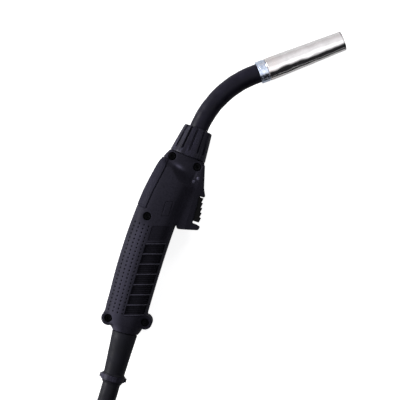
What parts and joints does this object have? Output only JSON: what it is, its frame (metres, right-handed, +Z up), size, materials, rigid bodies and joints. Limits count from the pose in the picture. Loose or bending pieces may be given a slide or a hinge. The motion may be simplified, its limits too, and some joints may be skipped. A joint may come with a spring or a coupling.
{
  "type": "mig welding torch",
  "caption": "Swan-neck MIG welding torch on its side: moulded clamshell handle with trigger, tapered lock nut, gas nozzle, and a strapped coil of power cable ending in a machine plug.",
  "frame": {"origin": "on the floor under the middle of the box round the torch itself, from the cable boot to the mouth of the nozzle, without the free cable", "axes": "+X along the grip towards the neck, +Y towards the spine of the handle, +Z up; the torch lies on the flat of its grip, and its plane of symmetry is level, 18.5 mm above the floor"},
  "size_m": [0.6853, 0.2293, 0.0542],
  "materials": {
    "nickel": "polished nickel plate over copper",
    "copper": "bright copper",
    "brass": "machined brass",
    "ceramic": "fired ceramic",
    "insulator": "moulded phenolic",
    "steel": "bright steel",
    "dark_steel": "blackened steel",
    "zinc": "turned, zinc-plated, slightly blue",
    "sleeve": "smooth insulating sleeve, semi-matt",
    "nut_plastic": "moulded, satin",
    "handle_plastic": "moulded, fine grain",
    "inlay": "soft moulded strip, satin",
    "trigger_plastic": "moulded, smooth",
    "switch_plastic": "moulded",
    "plunger_plastic": "moulded, red",
    "lead_sheath": "flexible sheath",
    "boot_rubber": "soft rubber",
    "cable_rubber": "smooth cable jacket",
    "strap": "woven hook-and-loop band",
    "plug_plastic": "moulded, satin"
  },
  "bodies": {
    "torch": {"contact_tip": "copper", "tip_holder": "brass", "gas_diffuser": "ceramic", "nozzle_insulator": "insulator", "nozzle_spring": "steel", "nozzle_collar": "zinc", "neck_tube": "copper", "neck_sleeve": "sleeve", "wire_liner": "steel", "neck_block": "brass", "cable_nut": "brass", "cable_ferrule": "copper", "cable_conductor": "copper", "handle_shell_left": "handle_plastic", "handle_shell_right": "handle_plastic", "spine_inlay": "inlay", "handle_screws": "dark_steel", "handle_nuts": "steel", "trigger_pin": "steel", "trigger_spring": "steel", "switch_body": "switch_plastic", "switch_terminals": "brass", "switch_leads": "lead_sheath", "cable_boot": "boot_rubber", "boot_clamp": "nut_plastic", "cable_inner": "cable_rubber", "cable_run": "cable_rubber", "cable_coil": "cable_rubber", "cable_end": "cable_rubber", "cable_straps": "strap", "plug_boot": "boot_rubber", "plug_housing": "plug_plastic", "plug_housing_screws": "steel", "plug_body": "brass", "plug_o_ring": "boot_rubber", "liner_nut": "brass"},
    "trigger": {"trigger_lever": "trigger_plastic"},
    "switch_plunger": {"switch_plunger": "plunger_plastic"},
    "gas_nozzle": {"gas_nozzle": "nickel"},
    "lock_nut": {"neck_lock_nut": "nut_plastic"},
    "union_nut": {"union_nut": "plug_plastic"},
    "control_pin_left": {"control_pin_left": "brass"},
    "control_pin_right": {"control_pin_right": "brass"}
  },
  "joints": [
    {"name": "trigger_press", "type": "hinge", "parent": "torch", "child": "trigger", "pos_m": [0.00779, 0.0228, 0.0185], "axis": [0, 0, -1], "range_deg": [0, 8], "stiffness_Nm_per_rad": 0.4, "springref_deg": -5.73, "deforming": ["trigger_spring"]},
    {"name": "plunger_press", "type": "slide", "parent": "torch", "child": "switch_plunger", "axis": [0, 1, 0], "range_m": [0, 0.0026]},
    {"name": "nozzle_pull", "type": "slide", "parent": "torch", "child": "gas_nozzle", "axis": [0.6157, -0.788, 0], "range_m": [0, 0.09]},
    {"name": "lock_nut_turn", "type": "hinge", "parent": "torch", "child": "lock_nut", "pos_m": [0.03529, 0.0405, 0.0185], "axis": [0.9962, -0.0872, 0], "range_deg": [0, 360]},
    {"name": "union_nut_turn", "type": "hinge", "parent": "torch", "child": "union_nut", "pos_m": [-0.19421, -0.1317, 0.023], "axis": [1, 0, 0], "continuous": true},
    {"name": "control_pin_left_press", "type": "slide", "parent": "torch", "child": "control_pin_left", "axis": [-1, 0, 0], "range_m": [0, 0.004], "stiffness_N_per_m": 200, "springref_m": -0.004},
    {"name": "control_pin_right_press", "type": "slide", "parent": "torch", "child": "control_pin_right", "axis": [-1, 0, 0], "range_m": [0, 0.004], "stiffness_N_per_m": 200, "springref_m": -0.004}
  ],
  "couplings": [
    {"joint": "plunger_press", "follows": "trigger_press", "m_per_rad": 0.018}
  ]
}
